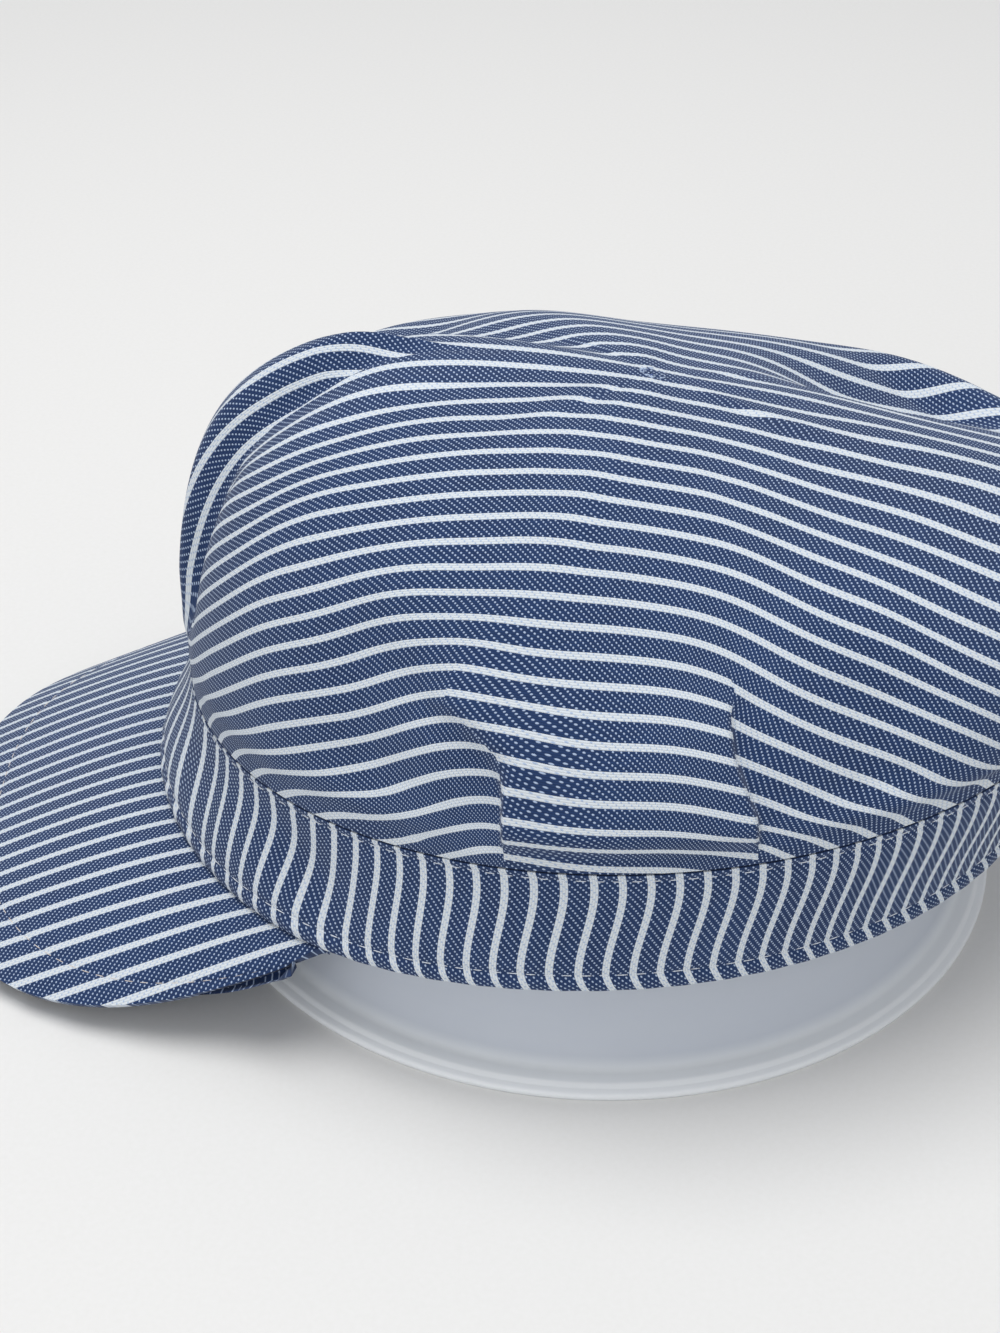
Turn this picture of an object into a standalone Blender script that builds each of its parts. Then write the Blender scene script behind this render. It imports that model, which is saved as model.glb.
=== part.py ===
# Conductor hat of hickory-stripe denim, seated on a plain upturned tub.
# Metres, +Z up. The peak points to -Y and the wearer's left side to +X.
# Angles run from the front of the hat (0) over its left side (90) to its back (180).

import math
from collections import namedtuple

import bmesh
import bpy
import numpy as np
from mathutils import Vector

MM = 0.001

# Gaps between touching pieces
SEAM_GAP = 0.3 * MM      # crown over band, peak under band
SEAT_GAP = 0.3 * MM      # crown over stand

# Hem, the band's lower edge: an oval that leans forward
HEM_HALF_LENGTH = 86 * MM
HEM_HALF_WIDTH = 79.5 * MM
HEM_SHIFT = 1 * MM       # centre of the oval behind the stand's axis
HEM_HEIGHT = 27.5 * MM   # over the surface that the stand is on
HEM_SLOPE = 0.045        # rise per length towards the back
HEM_DIP = 2.2 * MM       # how far the peak pulls the hem down beside its corners

# Seam, where crown and band meet
SEAM_HALF_LENGTH = 86 * MM
SEAM_HALF_WIDTH = 77.5 * MM
SEAM_SHIFT = 8 * MM
SEAM_SLOPE = 0.07
BAND_HEIGHT = 23 * MM
BAND_THICK = 2.2 * MM    # two layers of denim and a stiffener
BAND_CREASE_DEPTH = 2.2 * MM

# Crown, one layer of denim with its seam allowances
CROWN_RISE = 52 * MM     # from the seam to the top
CROWN_THICK = 1.6 * MM
CROWN_TURN = 2 * MM      # upright strip right above the seam
PLEAT_STEP = 1.9 * MM    # how far the side panel stands proud of its neighbours

# Peak, a stiff plate covered with denim
PEAK_REACH = 81 * MM     # from its rear corners to its tip
PEAK_HALF_WIDTH = 64 * MM
PEAK_ROUNDNESS = 2.9     # exponent of its outline, 2 is an ellipse
PEAK_SIDE_DROOP = 1.18   # above 1, its sides come down further back than its tip
PEAK_THICK = 2.6 * MM
PEAK_TIP_HEIGHT = 1.6 * MM  # underside of the tip over the surface
PEAK_TUCK = 1.4 * MM     # how far it reaches in under the band

# Stand, a round plastic tub with its mouth down, as wide as the hat that it holds
STAND_RIM_PROUD = 0.5 * MM  # rim past the seam's side
STAND_RIM_RADIUS = SEAM_HALF_WIDTH + STAND_RIM_PROUD
STAND_RIM_WIDTH = 5.5 * MM
STAND_RIM_THICK = 2 * MM
STAND_TOP_RADIUS = 59 * MM
STAND_WALL = 1.4 * MM
STAND_CORNER = 8 * MM    # outer rounding at the closed end

# Crown sections from the seam to the top. Reach is a share of the way from the top's centre
# to the seam, rise a share of CROWN_RISE. Lower and upper are the two handles of the curve.
Section = namedtuple("Section", "angle lower_reach lower_rise upper_reach upper_rise")
CROWN_SECTIONS = (
    Section(0, 0.98, 0.96, 0.78, 1.26),
    Section(45, 1.00, 0.84, 0.61, 1.10),
    Section(90, 0.86, 0.60, 0.42, 1.00),
    Section(135, 1.08, 0.44, 0.66, 0.77),
    Section(180, 1.22, 0.38, 0.92, 0.66),
)

# Soft folds and dents of the crown. Height is a share of CROWN_RISE, width in degrees, low and
# high the shares of the way up between which it shows, turn the degrees it wanders on that way.
Fold = namedtuple("Fold", "angle width height low high turn")
CROWN_FOLDS = (
    Fold(4, 5, 0.07, 0.02, 0.92, -34),      # front ridge
    Fold(13, 6, -0.11, 0.04, 0.90, -30),    # valley beside it
    Fold(-26, 12, -0.05, 0.10, 0.75, 6),    # dent on the hidden side of the front
    Fold(56, 8, -0.05, 0.00, 0.42, -8),     # hollow before the side panel
    Fold(113, 8, -0.05, 0.00, 0.45, 4),     # hollow behind the side panel
    Fold(-58, 9, -0.04, 0.00, 0.45, 8),
    Fold(-114, 9, -0.04, 0.00, 0.45, -6),
    Fold(-38, 15, -0.09, 0.45, 0.98, 0),    # hollow across the front of the top
    Fold(-150, 16, -0.14, 0.44, 0.90, 0),   # dent in the rear of the top
    Fold(-138, 14, 0.03, 0.25, 0.75, 0),    # bump beyond it
)

# Side panel between the two folds of the box pleat. Front and back are degrees, edge the width
# of a fold, low and high the shares of the way up where it starts to fade and ends. The turns
# are the degrees that each fold wanders until it ends.
Pleat = namedtuple("Pleat", "front back edge low high front_turn back_turn")
SIDE_PLEAT = Pleat(72, 101, 2.6, 0.16, 0.36, -11, -5)

HEM_DIP_ANGLE = 50       # degrees from the front
HEM_DIP_WIDTH = 24
BAND_CREASE_ANGLE = 47   # degrees from the front, beside the corner of the peak
BAND_CREASE_WIDTH = 8
BAND_CREASE_SLANT = -16  # degrees between hem and seam

CROWN_COLUMNS = 84
CROWN_ROWS = 17
BAND_COLUMNS = 72
BAND_LEVELS = (0, 0.03, 0.2, 0.4, 0.6, 0.8, 0.97, 1)
PEAK_COLUMNS = 30
PEAK_ROWS = 8
STAND_STEPS = 56
CORNER_POINTS = 4


def smooth(value):
    value = min(max(value, 0.0), 1.0)
    return value * value * (3 - 2 * value)


def mix(first, second, share):
    return first + (second - first) * share


def signed_angle(angle):
    return (angle + 180) % 360 - 180


# Point of the band's outer face, from the hem (level 0) to the seam (level 1). The face is
# upright along both edges, so that crown, band and peak meet there square
def band_ring(angle, level, inset=0.0):
    turn = math.radians(angle)
    lean = smooth(level)
    half_width = mix(HEM_HALF_WIDTH, SEAM_HALF_WIDTH, lean) - inset
    half_length = mix(HEM_HALF_LENGTH, SEAM_HALF_LENGTH, lean) - inset
    shift = mix(HEM_SHIFT, SEAM_SHIFT, lean)
    slope = mix(HEM_SLOPE, SEAM_SLOPE, lean)
    forward = -half_length * math.cos(turn)
    dip = HEM_DIP * math.exp(-((abs(signed_angle(angle)) - HEM_DIP_ANGLE) / HEM_DIP_WIDTH) ** 2)
    height = HEM_HEIGHT + BAND_HEIGHT * level + slope * forward - dip * (1 - lean)
    return Vector((half_width * math.sin(turn), shift + forward, height))


def band_point(angle, level):
    point = band_ring(angle, level)
    centre = BAND_CREASE_ANGLE + BAND_CREASE_SLANT * (level - 0.5)
    away = (abs(signed_angle(angle)) - centre) / BAND_CREASE_WIDTH
    depth = BAND_CREASE_DEPTH * math.exp(-away * away) * math.sin(math.pi * level) ** 2
    inward = Vector((-point.x, -point.y, 0)).normalized()
    return point + inward * depth


# Values of the crown's sections at any angle, the same on both sides of the hat
def crown_section(angle):
    angle = abs(signed_angle(angle))
    angles = [row.angle for row in CROWN_SECTIONS]
    step = angles[1] - angles[0]
    index = min(int(angle / step), len(angles) - 2)
    share = (angle - angles[index]) / step
    last = len(angles) - 1
    around = [abs(index - 1), index, index + 1, min(index + 2, 2 * last - index - 2)]
    before, first, second, after = (np.array(CROWN_SECTIONS[row][1:]) for row in around)
    slope_in = (second - before) / 2
    slope_out = (after - first) / 2
    square, cube = share * share, share ** 3
    return (first * (2 * cube - 3 * square + 1) + slope_in * (cube - 2 * square + share)
            + second * (3 * square - 2 * cube) + slope_out * (cube - square))


# Crown without its folds. Share runs from the seam (0) to the top's centre (1)
def crown_form(angle, share):
    edge = band_ring(angle, 1) + Vector((0, 0, SEAM_GAP))
    start = edge + Vector((0, 0, CROWN_TURN))
    base = HEM_HEIGHT + BAND_HEIGHT
    centre = Vector((0, SEAM_SHIFT, 0))
    lower_reach, lower_rise, upper_reach, upper_rise = crown_section(angle)
    spoke = start - centre
    spoke.z = 0
    rest = 1 - share
    weights = (rest ** 3, 3 * rest * rest * share, 3 * rest * share * share, share ** 3)
    reaches = (1, lower_reach, upper_reach, 0)
    heights = (start.z, start.z + CROWN_RISE * lower_rise,
               base + CROWN_RISE * upper_rise, base + CROWN_RISE)
    reach = sum(weight * value for weight, value in zip(weights, reaches))
    height = sum(weight * value for weight, value in zip(weights, heights))
    return centre + spoke * reach + Vector((0, 0, height))


def crown_relief(angle, share):
    relief = 0.0
    for fold in CROWN_FOLDS:
        along = (share - fold.low) / (fold.high - fold.low)
        if 0 < along < 1:
            away = signed_angle(angle - fold.angle - fold.turn * along) / fold.width
            fade = smooth(along / 0.25) * smooth((1 - along) / 0.5)
            relief += CROWN_RISE * fold.height * math.exp(-away * away) * fade
    side = abs(signed_angle(angle))
    along = (share / SIDE_PLEAT.high) ** 2
    front = SIDE_PLEAT.front + SIDE_PLEAT.front_turn * along
    back = SIDE_PLEAT.back + SIDE_PLEAT.back_turn * along
    panel = smooth((side - front) / SIDE_PLEAT.edge + 0.5)
    panel *= smooth((back - side) / SIDE_PLEAT.edge + 0.5)
    fade = 1 - smooth((share - SIDE_PLEAT.low) / (SIDE_PLEAT.high - SIDE_PLEAT.low))
    return relief + PLEAT_STEP * panel * fade


def crown_normal(angle, share):
    turn, move = 0.5, 0.01
    around = crown_form(angle + turn, share) - crown_form(angle - turn, share)
    upward = crown_form(angle, min(share + move, 1)) - crown_form(angle, max(share - move, 0))
    return around.cross(upward).normalized()


def crown_point(angle, share):
    lift = crown_relief(angle, share) * smooth(share / 0.1)
    return crown_form(angle, share) + crown_normal(angle, share) * lift


# Columns lie closer together where the cloth is folded
def crown_angles():
    fine = np.linspace(-180, 180, 1441)
    density = np.ones_like(fine)
    for edge in (SIDE_PLEAT.front, SIDE_PLEAT.back):
        density += 5 * np.exp(-((np.abs(fine) - edge) / (1.2 * SIDE_PLEAT.edge)) ** 2)
    density += 0.9 * np.exp(-(fine / 24) ** 2)
    total = np.concatenate(([0], np.cumsum((density[1:] + density[:-1]) / 2)))
    places = np.arange(CROWN_COLUMNS) / CROWN_COLUMNS * total[-1]
    return np.interp(places, total, fine)


# Closed rings of points joined row by row, with a last point that closes the top
def loft_rings(name, rings, tip=None):
    shape = bmesh.new()
    rows = [[shape.verts.new(point) for point in ring] for ring in rings]
    for lower, upper in zip(rows, rows[1:]):
        for index in range(len(lower)):
            after = (index + 1) % len(lower)
            shape.faces.new((lower[index], lower[after], upper[after], upper[index]))
    if tip is not None:
        top = shape.verts.new(tip)
        for index in range(len(rows[-1])):
            shape.faces.new((rows[-1][index], rows[-1][(index + 1) % len(rows[-1])], top))
    return finish_mesh(name, shape)


def loft_strips(name, rows_of_points):
    shape = bmesh.new()
    rows = [[shape.verts.new(point) for point in row] for row in rows_of_points]
    for lower, upper in zip(rows, rows[1:]):
        for index in range(len(lower) - 1):
            shape.faces.new((lower[index], lower[index + 1], upper[index + 1], upper[index]))
    return finish_mesh(name, shape)


def finish_mesh(name, shape):
    mesh = bpy.data.meshes.new(name)
    shape.to_mesh(mesh)
    shape.free()
    mesh.shade_smooth()
    return bpy.data.objects.new(name, mesh)


def thicken(piece, thickness):
    shell = piece.modifiers.new("thickness", "SOLIDIFY")
    shell.thickness = thickness
    shell.offset = -1
    shell.use_rim = True


def material(name, colour, roughness, metallic=0.0):
    look = bpy.data.materials.new(name)
    look.use_nodes = True
    shader = look.node_tree.nodes["Principled BSDF"]
    shader.inputs["Base Color"].default_value = (*colour, 1)
    shader.inputs["Roughness"].default_value = roughness
    shader.inputs["Metallic"].default_value = metallic
    return look


def striped_denim():
    return material("striped_denim", (0.10, 0.16, 0.36), 0.9)


def tub_plastic():
    return material("tub_plastic", (0.62, 0.66, 0.72), 0.45)


def make_crown():
    angles = crown_angles()
    rings = [[band_ring(angle, 1) + Vector((0, 0, SEAM_GAP)) for angle in angles]]
    for row in range(CROWN_ROWS):
        rings.append([crown_point(angle, row / CROWN_ROWS) for angle in angles])
    piece = loft_rings("crown", rings, crown_form(0, 1))
    thicken(piece, CROWN_THICK)
    return piece


def make_band():
    angles = [360 * index / BAND_COLUMNS for index in range(BAND_COLUMNS)]
    rings = [[band_point(angle, level) for angle in angles] for level in BAND_LEVELS]
    piece = loft_rings("band", rings)
    thicken(piece, BAND_THICK)
    return piece


# Angle at which the hem is as far to the side as the rear corner of the peak
def peak_corner_angle():
    return math.degrees(math.asin(PEAK_HALF_WIDTH / (HEM_HALF_WIDTH - PEAK_TUCK)))


# Top face of the peak. Across runs from corner to corner (-1 to 1), along from seam to rim
def peak_point(across, along):
    corner = peak_corner_angle()
    root = band_ring(corner * across, 0, PEAK_TUCK) - Vector((0, 0, SEAM_GAP))
    rear = band_ring(corner, 0, PEAK_TUCK)
    turn = math.radians(90 * across)
    power = 2 / PEAK_ROUNDNESS
    side = math.copysign(abs(math.sin(turn)) ** power, across) * PEAK_HALF_WIDTH
    forward = abs(math.cos(turn)) ** power
    rim = Vector((side, rear.y - PEAK_REACH * forward, 0))
    fall = band_ring(0, 0).z - SEAM_GAP - PEAK_THICK - PEAK_TIP_HEIGHT
    drop = fall * math.sin(math.pi / 2 * min(1, PEAK_SIDE_DROOP * forward))
    point = mix(root, rim, along)
    point.z = root.z - drop * along ** 1.25
    return point


def make_peak():
    # The corners end in short edges, because the rows meet there
    columns = [mix(-0.97, 0.97, index / PEAK_COLUMNS) for index in range(PEAK_COLUMNS + 1)]
    rows = [[peak_point(across, row / PEAK_ROWS) for across in columns]
            for row in range(PEAK_ROWS, -1, -1)]
    piece = loft_strips("peak", rows)
    thicken(piece, PEAK_THICK)
    return piece


# How far the stand's outside lies below its closed end, at a distance from its axis
def corner_fall(distance):
    past = distance - (STAND_TOP_RADIUS - STAND_CORNER)
    if past <= 0:
        return 0.0
    return STAND_CORNER - math.sqrt(max(0.0, STAND_CORNER ** 2 - past ** 2))


# Highest place for the closed end of the stand, where the inside of the crown rests on it
def stand_height():
    heights = []
    for angle in np.arange(-180, 180, 3):
        for row in range(1, 3 * CROWN_ROWS):
            share = row / (3 * CROWN_ROWS)
            normal = crown_normal(angle, share)
            inside = crown_point(angle, share) - normal * CROWN_THICK
            distance = math.hypot(inside.x, inside.y)
            if distance < STAND_TOP_RADIUS:
                heights.append(inside.z + corner_fall(distance))
    return min(heights) - SEAT_GAP


def corner_arc(radius, height, rounding):
    centre = (radius - rounding, height - rounding)
    turns = [math.pi / 2 * index / CORNER_POINTS for index in range(CORNER_POINTS + 1)]
    return [(centre[0] + rounding * math.sin(turn), centre[1] + rounding * math.cos(turn))
            for turn in turns]


def make_stand():
    height = stand_height()
    foot_radius = STAND_RIM_RADIUS - STAND_RIM_WIDTH
    outside = corner_arc(STAND_TOP_RADIUS, height, STAND_CORNER)
    inside = corner_arc(STAND_TOP_RADIUS - STAND_WALL, height - STAND_WALL,
                        STAND_CORNER - STAND_WALL)
    profile = [(0, height), *outside, (foot_radius, STAND_RIM_THICK),
               (STAND_RIM_RADIUS, STAND_RIM_THICK), (STAND_RIM_RADIUS, 0),
               (foot_radius - STAND_WALL, 0), *reversed(inside), (0, height - STAND_WALL)]
    mesh = bpy.data.meshes.new("stand")
    points = [(radius, 0, level) for radius, level in profile]
    edges = [(index, index + 1) for index in range(len(points) - 1)]
    mesh.from_pydata(points, edges, [])
    piece = bpy.data.objects.new("stand", mesh)
    turning = piece.modifiers.new("turning", "SCREW")
    turning.steps = STAND_STEPS
    turning.render_steps = STAND_STEPS
    turning.use_merge_vertices = True
    turning.merge_threshold = 0.00001
    turning.use_smooth_shade = False
    return piece


# The origin lies under the middle of the whole object's box
def centre_on_box(root, pieces):
    bpy.context.view_layer.update()
    graph = bpy.context.evaluated_depsgraph_get()
    places = []
    for piece in pieces:
        shape = piece.evaluated_get(graph)
        places.extend(shape.matrix_world @ Vector(corner) for corner in shape.bound_box)
    low = Vector(min(place[axis] for place in places) for axis in range(3))
    high = Vector(max(place[axis] for place in places) for axis in range(3))
    root.location = (-(low.x + high.x) / 2, -(low.y + high.y) / 2, -low.z)


def main():
    for old in list(bpy.data.objects):
        bpy.data.objects.remove(old)
    parts = bpy.data.collections.new("conductor_hat")
    bpy.context.scene.collection.children.link(parts)
    root = bpy.data.objects.new("hat_root", None)
    parts.objects.link(root)
    denim = striped_denim()
    pieces = [make_crown(), make_band(), make_peak(), make_stand()]
    for piece in pieces:
        parts.objects.link(piece)
        piece.parent = root
        piece.data.materials.append(tub_plastic() if piece.name == "stand" else denim)
    centre_on_box(root, pieces)


main()
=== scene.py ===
# Conductor hat of hickory-stripe denim, seated on an upturned plastic tub.
# Metres, +Z up. The peak points to -Y and the wearer's left side to +X.
# Angles run from the front (0) over the wearer's left (90) to the back (180, -180).
# Levels run up the band from hem (0) to seam (1), shares from the seam (0) to the crown's top (1).

import math

import bmesh
import bpy
import numpy as np
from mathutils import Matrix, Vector


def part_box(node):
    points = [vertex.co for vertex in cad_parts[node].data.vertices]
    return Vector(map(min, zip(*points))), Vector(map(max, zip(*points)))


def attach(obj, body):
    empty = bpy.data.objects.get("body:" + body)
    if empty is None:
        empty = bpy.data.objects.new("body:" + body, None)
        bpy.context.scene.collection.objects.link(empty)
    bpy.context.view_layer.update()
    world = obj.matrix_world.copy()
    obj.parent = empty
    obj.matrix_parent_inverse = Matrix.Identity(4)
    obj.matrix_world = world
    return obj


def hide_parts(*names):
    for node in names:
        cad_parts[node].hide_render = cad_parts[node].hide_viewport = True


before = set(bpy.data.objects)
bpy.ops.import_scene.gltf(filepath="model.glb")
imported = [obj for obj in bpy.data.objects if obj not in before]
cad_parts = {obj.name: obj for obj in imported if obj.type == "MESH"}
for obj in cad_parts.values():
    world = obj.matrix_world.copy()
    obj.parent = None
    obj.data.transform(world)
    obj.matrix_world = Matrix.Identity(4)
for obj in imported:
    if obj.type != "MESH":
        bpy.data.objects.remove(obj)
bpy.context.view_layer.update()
mm = 0.001

standLow, standHigh = (np.array(corner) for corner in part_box("stand"))
axis = np.array(((standLow[0] + standHigh[0]) / 2, (standLow[1] + standHigh[1]) / 2, 0.0))

hat = {
    "hemHalfLength": 86 * mm, "hemHalfWidth": 79.5 * mm, "hemShift": 1 * mm,
    "hemHeight": 27.5 * mm, "hemSlope": 0.045,
    "hemDip": 2.2 * mm, "hemDipAngle": 50, "hemDipWidth": 24,
    "seamHalfLength": 86 * mm, "seamHalfWidth": 77.5 * mm, "seamShift": 8 * mm, "seamSlope": 0.07,
    "bandHeight": 23 * mm, "seamGap": 0.3 * mm,
}

# Hickory stripe: 11 warp ends to a repeat of 3/16 inch, 3 of them white
denim = {
    "repeat": 4.76,          # mm
    "ends": 11,
    "whiteEnds": 3,
    "pick": 0.46,            # mm from weft to weft
    "navy": "#253F6C", "navyDark": "#162B50",
    "white": "#DDE4EA", "weft": "#AFC0DA",
    "insideNavy": "#5B70A3", "insideWhite": "#E4E7EC",
    "roughness": 0.88,
}


def smooth(value):
    value = np.clip(value, 0, 1)
    return value * value * (3 - 2 * value)


def mix(first, second, share):
    return first + (second - first) * share


def signedAngle(angle):
    return (np.asarray(angle, float) + 180) % 360 - 180


def bell(value, middle, width):
    return np.exp(-((value - middle) / width) ** 2)


def follow(rows, value):  # straight lines between the rows of a table
    places, heights = zip(*rows)
    return np.interp(value, places, heights)


# Outer face of the band, and its edges: hem at level 0, seam at level 1
def bandRing(angle, level, inset=0.0):
    turn = np.radians(angle)
    lean = smooth(level)
    halfWidth = mix(hat["hemHalfWidth"], hat["seamHalfWidth"], lean) - inset
    halfLength = mix(hat["hemHalfLength"], hat["seamHalfLength"], lean) - inset
    shift = mix(hat["hemShift"], hat["seamShift"], lean)
    slope = mix(hat["hemSlope"], hat["seamSlope"], lean)
    forward = -halfLength * np.cos(turn)
    dip = hat["hemDip"] * bell(np.abs(signedAngle(angle)), hat["hemDipAngle"], hat["hemDipWidth"])
    height = hat["hemHeight"] + hat["bandHeight"] * level + slope * forward - dip * (1 - lean)
    return np.stack(np.broadcast_arrays(halfWidth * np.sin(turn), shift + forward, height), -1)


# Materials

def linear(hexColour):
    values = [int(hexColour[i:i + 2], 16) / 255 for i in (1, 3, 5)]
    return (*[v / 12.92 if v <= 0.04045 else ((v + 0.055) / 1.055) ** 2.4 for v in values], 1)


# A node with its settings and what feeds its inputs: a socket, or a plain value
def addNode(tree, kind, settings=None, feeds=None):
    node = tree.nodes.new(kind)
    for key, value in (settings or {}).items():
        setattr(node, key, value)
    for key, value in (feeds or {}).items():
        if isinstance(value, bpy.types.NodeSocket):
            tree.links.new(value, node.inputs[key])
        else:
            node.inputs[key].default_value = value
    return node


def newMaterial(name, shaderValues):
    look = bpy.data.materials.new(name)
    look.use_nodes = True
    shader = look.node_tree.nodes["Principled BSDF"]
    for key, value in shaderValues.items():
        shader.inputs[key].default_value = value
    return look, look.node_tree, shader


# Cotton denim in 2/1 twill, ring-dyed warp over a white weft. Its map is in millimetres of cloth:
# U runs across the warp ends, V along them. Every third crossing shows a dot of weft, and the
# dots climb in diagonals. The dull fibre gives no highlight, only a faint sheen.
def hickoryDenim(name, diagonal, inside=False):
    look, tree, shader = newMaterial(name, {
        "Roughness": denim["roughness"], "Sheen Weight": 0.12, "Sheen Roughness": 0.5,
        "Specular IOR Level": 0.25})

    def maths(operation, first, second=0.0, third=0.0, clamp=False):
        return addNode(tree, "ShaderNodeMath", {"operation": operation, "use_clamp": clamp},
                       {0: first, 1: second, 2: third}).outputs[0]

    cloth = addNode(tree, "ShaderNodeUVMap", {"uv_map": "cloth"}).outputs[0]
    parts = addNode(tree, "ShaderNodeSeparateXYZ", None, {0: cloth})
    endWidth = denim["repeat"] / denim["ends"]
    across = maths("DIVIDE", parts.outputs[0], endWidth)
    along = maths("DIVIDE", parts.outputs[1], denim["pick"])
    end, pick = maths("FLOOR", across), maths("FLOOR", along)
    inEnd, inPick = maths("FRACT", across), maths("FRACT", along)
    step = maths("MULTIPLY_ADD", pick, diagonal, end)
    crossing = maths("FLOORED_MODULO", step, 3.0)
    weftUp = maths("LESS_THAN", crossing, 1.5 if inside else 0.5)
    whiteEnd = maths("LESS_THAN", maths("FLOORED_MODULO", end, float(denim["ends"])),
                     denim["whiteEnds"] - 0.5)

    # A weft float is a short oval dot between its neighbours, fading at its ends
    fromEnd = maths("ABSOLUTE", maths("SUBTRACT", inEnd, 0.5))
    fromPick = maths("ABSOLUTE", maths("SUBTRACT", inPick, 0.5))
    size = maths("SQRT", maths("ADD", maths("POWER", fromEnd, 2.0),
                               maths("MULTIPLY", maths("POWER", fromPick, 2.0), 1.35)))
    oval = addNode(tree, "ShaderNodeMapRange", {"interpolation_type": "SMOOTHSTEP"},
                   {0: size, 1: 0.54, 2: 0.26, 3: 0.0, 4: 1.0}).outputs[0]
    dot = maths("MULTIPLY", weftUp, 1.0 if inside else oval)

    # Ring dye takes unevenly: each end has its own depth, and it wanders along the yarn
    place = addNode(tree, "ShaderNodeCombineXYZ", None,
                    {0: maths("MULTIPLY", end, 7.31), 1: maths("MULTIPLY", parts.outputs[1], 0.35)})
    dye = addNode(tree, "ShaderNodeTexNoise", {"noise_dimensions": "2D"},
                  {"Vector": place.outputs[0], "Scale": 1.0, "Detail": 2.0}).outputs[0]
    broad = addNode(tree, "ShaderNodeTexNoise", {"noise_dimensions": "2D"},
                    {"Vector": cloth, "Scale": 0.045, "Detail": 3.0}).outputs[0]
    depth = maths("ADD", maths("MULTIPLY", dye, 0.75), maths("MULTIPLY", broad, 0.5), clamp=True)
    light, dark = ("insideNavy", "navy") if inside else ("navy", "navyDark")
    navy = addNode(tree, "ShaderNodeMix", {"data_type": "RGBA"},
                   {0: depth, 6: linear(denim[dark]), 7: linear(denim[light])}).outputs[2]
    white = linear(denim["insideWhite"] if inside else denim["white"])
    warp = addNode(tree, "ShaderNodeMix", {"data_type": "RGBA"},
                   {0: whiteEnd, 6: navy, 7: white}).outputs[2]
    threads = addNode(tree, "ShaderNodeMix", {"data_type": "RGBA"},
                      {0: dot, 6: warp, 7: linear(denim["weft"])}).outputs[2]

    # Painted shade: every yarn is round, so its colour is darkened into the grooves beside it, and
    # a little on the warp floats
    groove = maths("MULTIPLY_ADD", maths("POWER", maths("MULTIPLY", fromEnd, 2.0), 4.0), -0.22, 1.0)
    warpUp = maths("SUBTRACT", 1.0, dot)
    shade = maths("MULTIPLY", groove, maths("MULTIPLY_ADD", warpUp, -0.03, 1.0))
    threadsWithPaintedShade = addNode(tree, "ShaderNodeMix", {"data_type": "RGBA", "blend_type": "MULTIPLY"},
                    {0: 1.0, 6: threads, 7: shade}).outputs[2]
    tree.links.new(threadsWithPaintedShade, shader.inputs["Base Color"])

    roundEnd = maths("SINE", maths("MULTIPLY", inEnd, math.pi))
    roundPick = maths("SINE", maths("MULTIPLY", inPick, math.pi))
    weftRound = maths("MULTIPLY", roundPick, roundEnd)
    height = maths("ADD", maths("MULTIPLY", roundEnd, warpUp),
                   maths("MULTIPLY", weftRound, maths("MULTIPLY", dot, 1.3)))
    bump = addNode(tree, "ShaderNodeBump", None,
                   {"Strength": 0.55, "Distance": 0.12 * mm, "Height": height})
    tree.links.new(bump.outputs[0], shader.inputs["Normal"])
    return look


# Spun polyester sewing thread, three-ply: a slight gloss and a fine twist
def sewingThread(name, colour):
    look, tree, shader = newMaterial(name, {"Roughness": 0.55, "Sheen Weight": 0.2})
    place = addNode(tree, "ShaderNodeTexCoord").outputs["Object"]
    twist = addNode(tree, "ShaderNodeTexNoise", None,
                    {"Vector": place, "Scale": 2200.0, "Detail": 1.0}).outputs[0]
    tone = addNode(tree, "ShaderNodeMix", {"data_type": "RGBA"},
                   {0: twist, 6: linear(colour[0]), 7: linear(colour[1])}).outputs[2]
    tree.links.new(tone, shader.inputs["Base Color"])
    bump = addNode(tree, "ShaderNodeBump", None,
                   {"Strength": 0.4, "Distance": 0.05 * mm, "Height": twist})
    tree.links.new(bump.outputs[0], shader.inputs["Normal"])
    return look


# Injection-moulded polypropylene, natural with a grey-blue tint: milky, satin, and slightly
# see-through where it is thin. Fine flow lines and handling scuffs break its gloss.
def milkyPolypropylene(name):
    look, tree, shader = newMaterial(name, {
        "IOR": 1.49, "Subsurface Weight": 0.35, "Subsurface Scale": 4 * mm,
        "Subsurface Radius": (1.0, 1.0, 1.0)})
    place = addNode(tree, "ShaderNodeTexCoord").outputs["Object"]
    flow = addNode(tree, "ShaderNodeMapping", None,
                   {"Vector": place, "Scale": (1, 1, 5)}).outputs[0]
    cloud = addNode(tree, "ShaderNodeTexNoise", None,
                    {"Vector": flow, "Scale": 22.0, "Detail": 3.0}).outputs[0]
    scuff = addNode(tree, "ShaderNodeTexNoise", None,
                    {"Vector": place, "Scale": 600.0, "Detail": 4.0}).outputs[0]
    wall = addNode(tree, "ShaderNodeMix", {"data_type": "RGBA"},
                   {0: cloud, 6: linear("#CDD4E0"), 7: linear("#D6DCE5")}).outputs[2]
    height = addNode(tree, "ShaderNodeSeparateXYZ", None, {0: place}).outputs[2]
    # Painted light: the colour whitens over the lowest few millimetres, standing in for light
    # falling on the rim
    rim = addNode(tree, "ShaderNodeMapRange", {"interpolation_type": "SMOOTHSTEP"},
                  {0: height, 1: 5 * mm, 2: 2 * mm, 3: 0.0, 4: 1.0}).outputs[0]
    tone = addNode(tree, "ShaderNodeMix", {"data_type": "RGBA"},   # painted light: whiter towards the rim, as if lit there
                   {0: rim, 6: wall, 7: linear("#F4F8FB")}).outputs[2]
    tree.links.new(tone, shader.inputs["Base Color"])
    rough = addNode(tree, "ShaderNodeMapRange", None, {0: scuff, 3: 0.34, 4: 0.46}).outputs[0]
    tree.links.new(rough, shader.inputs["Roughness"])
    bump = addNode(tree, "ShaderNodeBump", None,
                   {"Strength": 0.15, "Distance": 0.1 * mm, "Height": scuff})
    tree.links.new(bump.outputs[0], shader.inputs["Normal"])
    return look


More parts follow.
